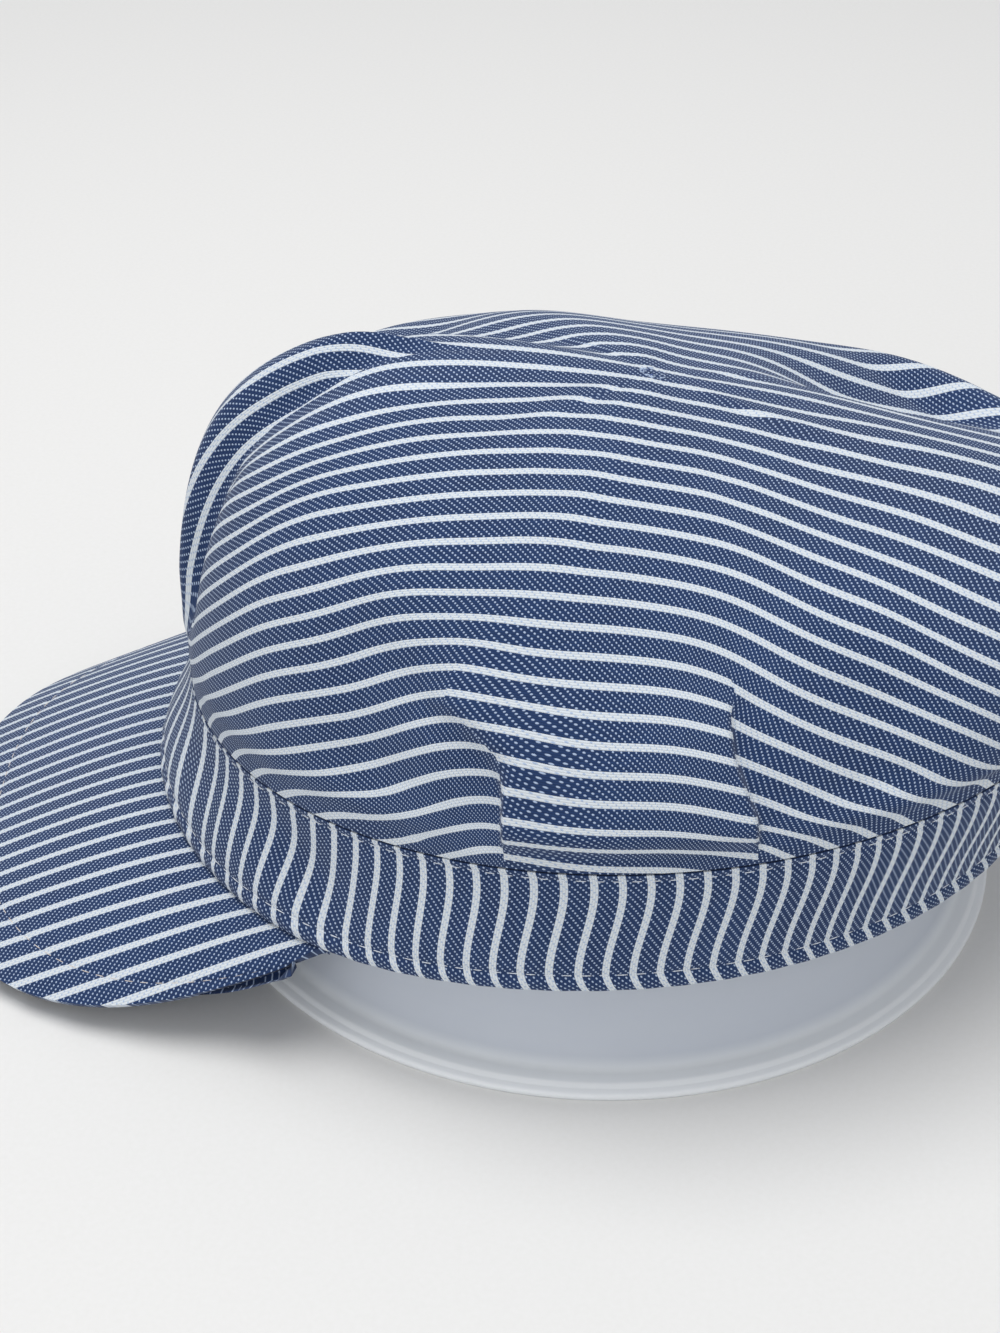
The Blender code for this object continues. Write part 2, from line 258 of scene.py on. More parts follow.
# Seamless studio paper, matt off-white
def studioPaper():
    look, tree, shader = newMaterial("studioPaper", {"Roughness": 0.95, "Specular IOR Level": 0.1})
    place = addNode(tree, "ShaderNodeTexCoord").outputs["Object"]
    fibre = addNode(tree, "ShaderNodeTexNoise", None,
                    {"Vector": place, "Scale": 900.0, "Detail": 3.0}).outputs[0]
    tone = addNode(tree, "ShaderNodeMix", {"data_type": "RGBA"},
                   {0: fibre, 6: linear("#E6E5E2"), 7: linear("#EBEAE8")}).outputs[2]
    tree.links.new(tone, shader.inputs["Base Color"])
    return look


clothOut = hickoryDenim("hickoryDenimCrown", -1.0)
clothBand = hickoryDenim("hickoryDenimBand", 1.0)
clothIn = hickoryDenim("hickoryDenimReverse", 1.0, inside=True)
threadWhite = sewingThread("threadWhite", ("#CDD6E2", "#F2F5F8"))
threadTan = sewingThread("threadTan", ("#B9AFA6", "#E6DED6"))
tubPlastic = milkyPolypropylene("milkyPolypropylene")
print("materials made")


# Meshes

# Grid of points, rows upward and columns round, with a map of the cloth for every face corner.
# corners holds the map at the four corners of each face: left below, right below, right above,
# left above. With wrap the last column joins the first, tip closes the top.
def gridPiece(name, points, corners, wrap=False, tip=None, tipCorners=None):
    rows, columns = points.shape[:2]
    places = points.reshape(-1, 3).tolist()
    faces, maps = [], []
    for row in range(rows - 1):
        for column in range(columns if wrap else columns - 1):
            after = (column + 1) % columns
            faces.append((row * columns + column, row * columns + after,
                          (row + 1) * columns + after, (row + 1) * columns + column))
            maps.extend(corners[row, column])
    if tip is not None:
        places.append(tuple(tip))
        for column in range(columns):
            faces.append(((rows - 1) * columns + column,
                          (rows - 1) * columns + (column + 1) % columns, len(places) - 1))
            maps.extend(tipCorners[column])
    mesh = bpy.data.meshes.new(name)
    mesh.from_pydata(places, [], faces)
    layer = mesh.uv_layers.new(name="cloth")
    layer.uv.foreach_set("vector", np.array(maps, dtype=np.float32).ravel())
    mesh.shade_smooth()
    piece = bpy.data.objects.new(name, mesh)
    bpy.context.scene.collection.objects.link(piece)
    return piece


def addWall(piece, thickness, outer, inner, rounding):
    piece.data.materials.append(outer)
    piece.data.materials.append(inner)
    shell = piece.modifiers.new("wall", "SOLIDIFY")
    shell.thickness = thickness
    shell.offset = -1
    shell.use_rim = True
    shell.material_offset = 1
    shell.material_offset_rim = 0
    edge = piece.modifiers.new("turned edge", "BEVEL")
    edge.width = rounding
    edge.segments = 3
    edge.limit_method = "ANGLE"
    edge.angle_limit = math.radians(50)


def applyModifiers(piece):
    graph = bpy.context.evaluated_depsgraph_get()
    graph.update()
    mesh = bpy.data.meshes.new_from_object(piece.evaluated_get(graph))
    old = piece.data
    piece.modifiers.clear()
    piece.data = mesh
    bpy.data.meshes.remove(old)
    mesh.name = piece.name


# Crown: one round of denim, pleated into the seam at the front and at both sides

crown = {
    "rise": 52 * mm, "thick": 1.6 * mm, "turn": 2 * mm,
    "columns": 300, "rows": 118,
    "pleatStep": 2.3 * mm,       # the side panel over its neighbours
    "pleatHollow": 1.7 * mm,     # how far the cloth sinks before the side panel
    "rollOut": 1.2 * mm,         # the cloth swells out above the seam
    "frontFold": 4.2 * mm,       # how far the front pleat stands out
    "frontSink": 3.2 * mm,       # and how deep the valleys beside it are
    "frontDrop": (3.2, 8.0),     # degrees from the roll to the valley, below and above
    "frontValleyWidth": (5.0, 9.0),
    "foldEdge": 1.2,             # degrees over which a side pleat's fold turns, where it is sharp
    "frontEdgeSoft": 8.0, "backEdgeSoft": 7.0,   # and where it has faded
    "hollowWidth": 5, "hollowBehind": 3.4,
    "tucked": (1.2, 2.4),        # mm of cloth gathered in above the seam, high up and low down
    "pucker": 0.22 * mm,
    "stripeShift": -2.25,        # mm, moves the stripes over the crown
}
# Angle, then reach and rise of the lower and of the upper handle of the spoke's curve
crownSections = np.array((
    (0, 0.98, 0.96, 0.78, 1.26),
    (45, 1.00, 0.84, 0.61, 1.10),
    (90, 0.86, 0.60, 0.42, 1.00),
    (135, 1.08, 0.44, 0.66, 0.77),
    (180, 1.22, 0.38, 0.92, 0.66)))
# Angle, width in degrees, height as a share of the rise, low and high share, turn on the way up
crownFolds = (
    (-26, 12, -0.05, 0.10, 0.75, 6),
    (-38, 15, -0.09, 0.45, 0.98, 0),
    (56, 8, -0.05, 0.00, 0.42, -8),
    (113, 8, -0.05, 0.00, 0.45, 4),
    (-58, 9, -0.04, 0.00, 0.45, 8),
    (-114, 9, -0.04, 0.00, 0.45, -6),
    (-150, 16, -0.14, 0.44, 0.90, 0),
    (-138, 14, 0.03, 0.25, 0.75, 0),
)
# Where the folds lie on the way up: share and angle
frontValley = ((0, 7), (0.12, 6.5), (0.34, 4.8), (0.48, 4.2), (0.6, 4.5), (0.68, 3), (0.78, 0),
               (1, 0))
pleatFront = ((0, 72), (0.11, 71), (0.16, 70), (0.2, 66), (0.23, 62), (1, 62))
pleatBack = ((0, 100), (0.07, 100), (0.18, 98), (0.25, 98), (0.3, 99), (0.36, 98), (1, 98))
pleatHollow = ((0, 69.5), (0.11, 68.5), (0.16, 67), (0.2, 63.5), (0.24, 59.5), (0.3, 54),
               (0.4, 47), (1, 47))
frontMiddle = -4                 # the front pleat is the same on both sides of this angle
# Degrees by which the cloth lies turned on, because its rim is gathered into the seam. Each row
# is an angle, then the turn at the shares of the way up. Below the pleats the front side, the
# side panel and the rear side each have their own, above them they share one.
clothShares = (0, 0.08, 0.2, 0.32, 0.45, 0.58, 0.7, 0.8, 0.9, 1)
clothLow = {
    "Front": ((0, 24, 16, 9), (6, 20, 14.5, 8), (12, 16.5, 12, 6), (20, 12.1, 10, 5.4),
              (30, 9.7, 7.4, 4.7), (38, 7.3, 6.1, 4.2), (44, 5.6, 4.8, 3.2),
              (52, 3.9, 3.8, 2.4), (58, 1, 4.1, 5.4), (64, 1.7, 7.2, 9.3), (72, 6.9, 13, 10.5)),
    "Panel": ((62, 5, 5, 9), (72, 5, 5, 7.4), (76, 3, 3, 3.9), (80, 0.5, 0.5, 1),
              (85, -1, -0.5, 0), (90, 0, 0.5, 2), (95, 4, 4.5, 6), (101, 4, 6, 8.5)),
    "Rear": ((94, 13.6, 17.3, 14.9), (101, 16.7, 16.9, 15.6), (106, 16.5, 16.5, 15.8),
             (111, 16.2, 16.2, 16), (116, 16.1, 14.7, 15.2), (122, 15.2, 14.8, 15.6),
             (130, 11.8, 13.8, 15.5), (140, 10, 13, 15), (150, 8, 11, 12), (162, 3, 4, 4.5),
             (172, 1, 1, 1), (180, 0, 0, 0)),
}
clothHigh = (
    (0, 0, 0, 0, 0, 0, 0, 0), (6, 1.9, -2.1, -2.1, -2.1, -2.1, -2.1, 0),
    (12, 2, -4.2, -4.2, -4.2, -4.2, -4.2, 0), (20, 0.6, -3.8, -6.8, -7.2, -7.9, -6, 0),
    (30, 2.2, -0.4, -4.4, -5.4, -6.8, -6, 0), (38, 1.1, -0.7, -3.1, -4.4, -7, 1.4, 0),
    (44, 1.3, -0.4, -2.8, -3.2, -3.9, 3.3, 0), (52, 3.6, 0.3, -2.2, -3.4, -1.5, -3.8, 0),
    (58, 4.5, -0.5, -1.5, -1.9, 0.3, -0.9, 0), (64, 5.1, 0, 0.4, -1.1, -0.6, 3.2, 0),
    (72, 0.7, 1.5, 2.3, 3.6, -0.2, -0.3, 0), (78, 1.1, 1.8, 0.3, 2.6, 2.1, 0.5, 0),
    (84, 2.2, 4, 3.7, 1.5, 1, 0, 0), (90, 4, 5, 5, 2.5, 0, 0, 0),
    (97, 9.9, 8.2, 6.9, 3.5, 0, -1, 0), (104, 15.3, 12.6, 8.7, 5.6, 0.5, -2, 0),
    (109, 16.4, 15.5, 11.9, 9.1, 2.1, -2, 0), (116, 15.9, 17.5, 15.1, 10.4, 4.5, -1, 0),
    (122, 16.6, 16.7, 15.6, 12.6, 7, 0.1, 0), (130, 17.4, 17.4, 15.3, 13.4, 8, 1.2, 0),
    (140, 15.3, 15.6, 13.8, 11.4, 9.3, 1.2, 0), (150, 12, 12.2, 11.8, 8.7, 6.6, 4, 0),
    (162, 5, 4.5, 6.7, 4.5, 4.6, -4.1, 0), (172, 1, 1, 1.5, 0, -0.4, 4, 0),
    (180, 0, 0, 0, 0, 0, 0, 0))


def crownSection(angle):
    around = np.abs(signedAngle(angle))
    step = crownSections[1, 0] - crownSections[0, 0]
    index = np.minimum((around / step).astype(int), len(crownSections) - 2)
    share = (around / step - index)[..., None]
    last = len(crownSections) - 1
    before = crownSections[np.abs(index - 1), 1:]
    first, second = crownSections[index, 1:], crownSections[index + 1, 1:]
    after = crownSections[np.minimum(index + 2, 2 * last - index - 2), 1:]
    slopeIn, slopeOut = (second - before) / 2, (after - first) / 2
    square, cube = share * share, share ** 3
    return (first * (2 * cube - 3 * square + 1) + slopeIn * (cube - 2 * square + share)
            + second * (3 * square - 2 * cube) + slopeOut * (cube - square))


def crownForm(angle, share):
    angle, share = np.broadcast_arrays(np.asarray(angle, float), np.asarray(share, float))
    start = bandRing(angle, 1) + np.array((0, 0, hat["seamGap"] + crown["turn"]))
    base = hat["hemHeight"] + hat["bandHeight"]
    centre = np.array((0, hat["seamShift"], 0))
    lowerReach, lowerRise, upperReach, upperRise = np.moveaxis(crownSection(angle), -1, 0)
    spoke = start - centre
    spoke[..., 2] = 0
    rest = 1 - share
    weights = (rest ** 3, 3 * rest ** 2 * share, 3 * rest * share ** 2, share ** 3)
    reach = weights[0] + weights[1] * lowerReach + weights[2] * upperReach
    height = (weights[0] * start[..., 2] + weights[1] * (start[..., 2] + crown["rise"] * lowerRise)
              + weights[2] * (base + crown["rise"] * upperRise)
              + weights[3] * (base + crown["rise"]))
    point = centre + spoke * reach[..., None]
    point[..., 2] = height
    return point


def crownNormal(angle, share):
    around = crownForm(angle + 0.5, share) - crownForm(angle - 0.5, share)
    upward = (crownForm(angle, np.minimum(share + 0.01, 1))
              - crownForm(angle, np.maximum(share - 0.01, 0)))
    normal = np.cross(around, upward)
    return normal / np.linalg.norm(normal, axis=-1, keepdims=True)


# The front pleat: a roll of cloth that drops steeply into a valley on each side
def frontPleat(angle, share):
    fade = smooth(share / 0.14) * (1 - smooth((share - 0.64) / 0.2))
    ridge = crown["frontFold"] * mix(0.3, 1.0, smooth(share / 0.4))
    sink = crown["frontSink"] * (1 - smooth((share - 0.5) / 0.25))
    height = np.zeros_like(angle)
    for side in (1, -1):
        valley = frontMiddle + side * (follow(frontValley, share) - frontMiddle)
        past = side * (angle - valley)
        drop = smooth(-past / mix(*crown["frontDrop"], smooth(share / 0.75)))
        wide = mix(*crown["frontValleyWidth"], smooth(share / 0.75))
        shape = np.where(past < 0, mix(-sink, ridge, drop), -sink * bell(past, 0, wide))
        height = np.where(side * (angle - frontMiddle) >= 0, shape, height)
    return height * fade


def crownRelief(angle, share, pleats=True):
    relief = np.zeros_like(share)
    for middle, width, height, low, high, turn in crownFolds:
        along = (share - low) / (high - low)
        away = signedAngle(angle - middle - turn * along) / width
        fade = smooth(along / 0.25) * smooth((1 - along) / 0.5) * (along > 0) * (along < 1)
        relief = relief + crown["rise"] * height * np.exp(-away * away) * fade
    if not pleats:
        return relief
    side = np.abs(signedAngle(angle))
    frontEdge = mix(crown["foldEdge"], crown["frontEdgeSoft"], smooth((share - 0.1) / 0.09))
    backEdge = mix(crown["foldEdge"], crown["backEdgeSoft"], smooth((share - 0.24) / 0.1))
    panel = (smooth((side - follow(pleatFront, share)) / frontEdge + 0.5)
             * smooth((follow(pleatBack, share) - side) / backEdge + 0.5))
    fade = 1 - smooth((share - 0.14) / 0.22)
    relief = relief + crown["pleatStep"] * panel * fade
    hollow = bell(side, follow(pleatHollow, share), crown["hollowWidth"])
    hollow = hollow * (1 - smooth((share - 0.12) / 0.26))
    behind = bell(side, follow(pleatBack, share) + 2.2, crown["hollowBehind"])
    behind = behind * (1 - smooth((share - 0.16) / 0.2))
    relief = relief - crown["pleatHollow"] * (hollow + 0.6 * behind) * (1 - panel)
    relief = relief + crown["rollOut"] * smooth(share / 0.03) * np.exp(-share / 0.12)
    relief = relief + frontPleat(signedAngle(angle), share)
    ripple = (np.sin(np.radians(angle * 31)) + 0.8 * np.sin(np.radians(angle * 19 + 70))
              + 0.6 * np.sin(np.radians(angle * 47 + 20)))
    return relief + crown["pucker"] * ripple * smooth(share / 0.02) * np.exp(-share / 0.05)


def crownPoint(angle, share, pleats=True):
    lift = crownRelief(angle, share, pleats) * smooth(share / 0.05)
    return crownForm(angle, share) + crownNormal(angle, share) * lift[..., None]


# Column lines that follow the folds. Their places at the seam, and the kind of cloth after each
def crownColumns():
    front = follow(frontValley, 0)
    farFront = 2 * frontMiddle - front
    marks = [-180, -100, -72, farFront, front, 72, 100, 180]
    kinds = ["farRear", "farPanel", "farFront", "front", "nearFront", "nearPanel", "nearRear"]
    fine = np.linspace(-180, 180, 3601)
    density = 1 + 2.5 * bell(fine, frontMiddle, 22)
    for mark in marks[1:-1]:
        density += 7 * bell(fine, mark, 2.4)
    total = np.concatenate(([0], np.cumsum((density[1:] + density[:-1]) / 2)))
    stops = np.interp(marks, fine, total)
    columns, sides = [], []
    for low, high, kind in zip(stops, stops[1:], kinds):
        count = max(4, round(crown["columns"] * (high - low) / total[-1]))
        places = np.linspace(low, high, count + 1)[:-1]
        columns.extend(np.interp(places, total, fine))
        sides.extend([kind] * count)
    return np.array(columns + [180.0]), sides, marks


def turnedColumns(columns, marks, share):
    front, panelFront, panelBack = (follow(path, share)
                                    for path in (frontValley, pleatFront, pleatBack))
    moved = [-180, -panelBack, -panelFront, 2 * frontMiddle - front, front, panelFront, panelBack,
             180]
    return np.interp(columns, marks, moved)


def clothLean(kind, angle, share):
    low, high = np.array(clothLow[kind]), np.array(clothHigh)
    turns = [np.interp(angle, low[:, 0], low[:, i]) for i in (1, 2, 3)]
    turns += [np.interp(angle, high[:, 0], high[:, i]) for i in range(1, high.shape[1])]
    turns, places = np.stack(turns), np.array(clothShares)
    index = np.clip(np.searchsorted(places, share, side="right") - 1, 0, len(places) - 2)
    rest = (share - places[index]) / (places[index + 1] - places[index])
    column = np.arange(len(share))
    return mix(turns[index, column], turns[index + 1, column], rest)


# Turn of the flat cloth at a point. The tables are eased, so that no stripe bends sharply
def clothTurn(kind, angle, share):
    far = kind.startswith("far")
    angle = np.broadcast_to(angle, share.shape)
    side = -angle if far else angle
    region = "Front" if kind == "front" else kind.replace("near", "").replace("far", "")
    lean = sum(clothLean(region, np.abs(side + wide), np.clip(share + high, 0, 1))
               for wide in (-2.5, 0, 2.5) for high in (-0.035, 0, 0.035)) / 9
    if kind == "front":
        return angle + lean * np.clip(angle / 6, -1, 1)
    turn = side + lean
    return -turn if far else turn


# Length of cloth in mm from the crown's top down to a point, straight down the calm form. Just
# above the seam more cloth is tucked in
def clothReach(angle, share):
    angles, shares = np.arange(-180, 181, 2.0), np.linspace(0, 0.999, 201)
    calm = crownPoint(*np.meshgrid(angles, shares, indexing="ij"), pleats=False)
    steps = np.linalg.norm(np.diff(calm, axis=1), axis=-1) / mm
    lengths = np.pad(np.cumsum(steps[:, ::-1], axis=1)[:, ::-1], ((0, 0), (0, 1)))
    around = (signedAngle(angle) + 180) / 2
    upward = np.clip(share / shares[1], 0, len(shares) - 1.001)
    column = np.minimum(around.astype(int), len(angles) - 2)
    row = upward.astype(int)
    lower = mix(lengths[column, row], lengths[column + 1, row], around - column)
    upper = mix(lengths[column, row + 1], lengths[column + 1, row + 1], around - column)
    high, low = crown["tucked"]
    tucked = high * (1 - smooth(share / 0.25)) + low * (1 - smooth(share / 0.07))
    return mix(lower, upper, upward - row) + tucked


def makeCrown():
    columns, sides, marks = crownColumns()
    steps = np.linspace(0, 1, crown["rows"] + 1)[:-1]
    shares = 0.35 * steps + 0.65 * (1 - (1 - steps) ** 1.35)
    shares = np.concatenate((shares, [0.985]))
    angles = np.array([turnedColumns(columns, marks, share) for share in shares])
    shareGrid = np.broadcast_to(shares[:, None], angles.shape)
    points = crownPoint(angles, shareGrid)
    edge = bandRing(angles[0], 1) + np.array((0, 0, hat["seamGap"]))
    points = np.concatenate((edge[None], points))
    angles = np.concatenate((angles[:1], angles))
    shareGrid = np.concatenate((shareGrid[:1], shareGrid))
    tip = crownPoint(np.array(0.0), np.array(0.999))
    tip = np.array((0, hat["seamShift"], tip[2]))
    spokes = clothReach(angles, shareGrid)
    spokes[0] += crown["turn"] / mm
    rows, count = points.shape[0], len(sides)
    around = np.cumsum(np.linalg.norm(np.diff(points, axis=1), axis=-1), axis=1) / mm
    around = np.concatenate((np.zeros((rows, 1)), around), 1)
    around = around - around[:, np.argmin(np.abs(angles[0] - frontMiddle))][:, None]
    corners = np.zeros((rows - 1, count, 4, 2))
    tipCorners = np.zeros((count, 3, 2))

    def clothMap(kind, row, column):
        shares = np.atleast_1d(shareGrid[row, column])
        turn = np.radians(clothTurn(kind, angles[row, column], shares))
        reach = spokes[row, column]
        across = reach * np.sin(turn)
        if kind == "front":    # the roll's stripes follow it, and join the common cloth above
            across = mix(around[row, column], across, smooth((shares - 0.6) / 0.3))
        return np.stack((across + crown["stripeShift"], -reach * np.cos(turn)), -1)

    rowIndex = np.arange(rows - 1)
    for column, kind in enumerate(sides):
        corners[:, column, 0] = clothMap(kind, rowIndex, column)
        corners[:, column, 1] = clothMap(kind, rowIndex, column + 1)
        corners[:, column, 2] = clothMap(kind, rowIndex + 1, column + 1)
        corners[:, column, 3] = clothMap(kind, rowIndex + 1, column)
        tipCorners[column, 0] = clothMap(kind, rows - 1, column)[0]
        tipCorners[column, 1] = clothMap(kind, rows - 1, column + 1)[0]
        tipCorners[column, 2] = (crown["stripeShift"], 0)
    piece = gridPiece("denimCrown", points[:, :-1] + axis, corners, wrap=True, tip=tip + axis,
                      tipCorners=tipCorners)
    addWall(piece, crown["thick"], clothOut, clothIn, 0.35 * mm)
    applyModifiers(piece)
    return piece


# Band: a folded strip of denim, stripes upright, topstitched at hem and seam

band = {
    "thick": 2.2 * mm, "columns": 420, "rows": 34,
    "creaseDepth": 2.2 * mm, "creaseAngle": 47, "creaseWidth": 8, "creaseSlant": -16,
    "hemRoll": 0.35 * mm,        # how far the turned hem swells below its stitches
    "hemLevel": 0.13, "seamLevel": 0.94,   # the two rows of topstitching
    "creaseLean": 0.3,           # degrees by which the crease bends the stripes
}
# Repeats of the stripe counted from the front, at the angle where each meets the seam
bandStripes = ((0, -3.7), (12.5, 0), (19.4, 1), (24.4, 2), (27.5, 3), (31.5, 4), (35, 5), (38.6, 6),
               (42.6, 7), (46.2, 8), (49.7, 9), (53, 10), (62.1, 13), (72, 16), (82.2, 19),
               (91.6, 22), (100.8, 25), (109.3, 28), (117.2, 31), (125.8, 34), (134.4, 37),
               (180, 51.4))
# Degrees that a stripe moves back between seam and hem
bandLean = ((0, 0), (6, 1.8), (12, 4.4), (20, 7), (26, 5.8), (35, 4.6), (42, 3), (47, 2.2),
            (56, 3.4), (65, 4), (80, 3), (95, 2.6), (180, 0))


def bandPoint(angle, level):
    point = bandRing(angle, level)
    centre = band["creaseAngle"] + band["creaseSlant"] * (level - 0.5)
    away = (np.abs(signedAngle(angle)) - centre) / band["creaseWidth"]
    depth = band["creaseDepth"] * np.exp(-away * away) * np.sin(np.pi * np.clip(level, 0, 1)) ** 2
    roll = band["hemRoll"] * (bell(level, 0.05, 0.06) - 0.8 * bell(level, band["hemLevel"], 0.025)
                              - 0.6 * bell(level, band["seamLevel"], 0.025)
                              + 0.5 * bell(level, 0.985, 0.02))
    rope = 0.1 * mm * np.sin(np.radians(angle * 75) + level * 20) * bell(level, 0.05, 0.07)
    inward = -point * np.array((1, 1, 0))
    inward = inward / np.linalg.norm(inward, axis=-1, keepdims=True)
    return point + inward * (depth - roll - rope)[..., None]


def bandMap(angle, level):
    side = np.abs(signedAngle(angle))
    lean = follow(bandLean, side)
    back = lean * (band["seamLevel"] - level) / (band["seamLevel"] - band["hemLevel"])
    back = np.where(level < band["hemLevel"], lean + (band["hemLevel"] - level) * 9, back)
    back = back - band["creaseLean"] * bell(side, 40, 9) * np.sin(np.pi * np.clip(level, 0, 1)) ** 2
    repeat = follow(bandStripes, np.abs(side - back))
    across = repeat * denim["repeat"] + 0.5 * denim["whiteEnds"] * denim["repeat"] / denim["ends"]
    across = across * np.where(signedAngle(angle) < 0, -1, 1)
    up = level * hat["bandHeight"] / mm
    return np.stack(np.broadcast_arrays(across, up), -1)


def makeBand():
    fine = np.linspace(-180, 180, 3601)
    density = 1 + 1.5 * bell(np.abs(fine), 45, 14)
    total = np.concatenate(([0], np.cumsum((density[1:] + density[:-1]) / 2)))
    angles = np.interp(np.arange(band["columns"] + 1) / band["columns"] * total[-1], total, fine)
    levels = np.concatenate((np.linspace(0, 0.2, 12)[:-1], np.linspace(0.2, 0.9, 18)[:-1],
                             np.linspace(0.9, 1, 7)))
    angleGrid, levelGrid = np.meshgrid(angles, levels)
    points = bandPoint(angleGrid, levelGrid)
    grid = bandMap(angleGrid, levelGrid)
    corners = np.stack((grid[:-1, :-1], grid[:-1, 1:], grid[1:, 1:], grid[1:, :-1]), 2)
    piece = gridPiece("denimBand", points[:, :-1] + axis, corners, wrap=True)
    addWall(piece, band["thick"], clothBand, clothIn, 0.8 * mm)
    applyModifiers(piece)
    return piece


# Peak: a stiff plate between two layers of denim, stripes straight back to front

peak = {
    "reach": 81 * mm, "halfWidth": 64 * mm, "roundness": 2.9, "sideDroop": 1.18,
    "thick": 2.6 * mm, "tipHeight": 1.6 * mm, "tuck": 1.4 * mm,
    "columns": 150, "rows": 90,
    "stripeScale": 1.133, "stripePlace": 1.9,   # mm across the peak
    "stitchRow": 0.79,
}


def peakCorner():
    return math.degrees(math.asin(peak["halfWidth"] / (hat["hemHalfWidth"] - peak["tuck"])))


def peakPoint(across, along):
    across, along = np.broadcast_arrays(np.asarray(across, float), np.asarray(along, float))
    corner = peakCorner()
    root = bandRing(corner * across, 0, peak["tuck"]) - np.array((0, 0, hat["seamGap"]))
    rear = bandRing(np.array(corner), 0, peak["tuck"])
    power = 2 / peak["roundness"]
    turn = np.radians(90 * across)
    side = np.sign(across) * np.abs(np.sin(turn)) ** power * peak["halfWidth"]
    forward = np.abs(np.cos(turn)) ** power
    rim = np.stack((side, rear[1] - peak["reach"] * forward, np.zeros_like(side)), -1)
    fall = bandRing(np.array(0.0), 0)[2] - hat["seamGap"] - peak["thick"] - peak["tipHeight"]
    drop = fall * np.sin(math.pi / 2 * np.minimum(1, peak["sideDroop"] * forward))
    point = mix(root, rim, along[..., None])
    point[..., 2] = root[..., 2] - drop * along ** 1.25
    pucker = (bell(along, 0.3, 0.22) * bell(across, 0.62, 0.2)
              * np.sin(along * 9 + across * 60) * 0.16 * mm)
    groove = -0.25 * mm * bell(along, peak["stitchRow"], 0.012)
    point[..., 2] += pucker + groove
    return point


def makePeak():
    across = np.linspace(-0.97, 0.97, peak["columns"] + 1)
    along = np.linspace(1, 0, peak["rows"] + 1)
    acrossGrid, alongGrid = np.meshgrid(across, along)
    points = peakPoint(acrossGrid, alongGrid)
    half = 0.5 * denim["whiteEnds"] * denim["repeat"] / denim["ends"]
    grid = np.stack(((points[..., 0] / mm - peak["stripePlace"]) * peak["stripeScale"] + half,
                     -points[..., 1] / mm * 1.08), -1)
    corners = np.stack((grid[:-1, :-1], grid[:-1, 1:], grid[1:, 1:], grid[1:, :-1]), 2)
    piece = gridPiece("denimPeak", points + axis, corners)
    addWall(piece, peak["thick"], clothOut, clothOut, 0.9 * mm)
    applyModifiers(piece)
    return piece


# Stitches: Geometry Nodes lay one bowed thread at every step of a path

stitch = {"length": 2.6 * mm, "gap": 0.5 * mm, "radius": 0.11 * mm, "rise": 0.2 * mm, "seed": 7}


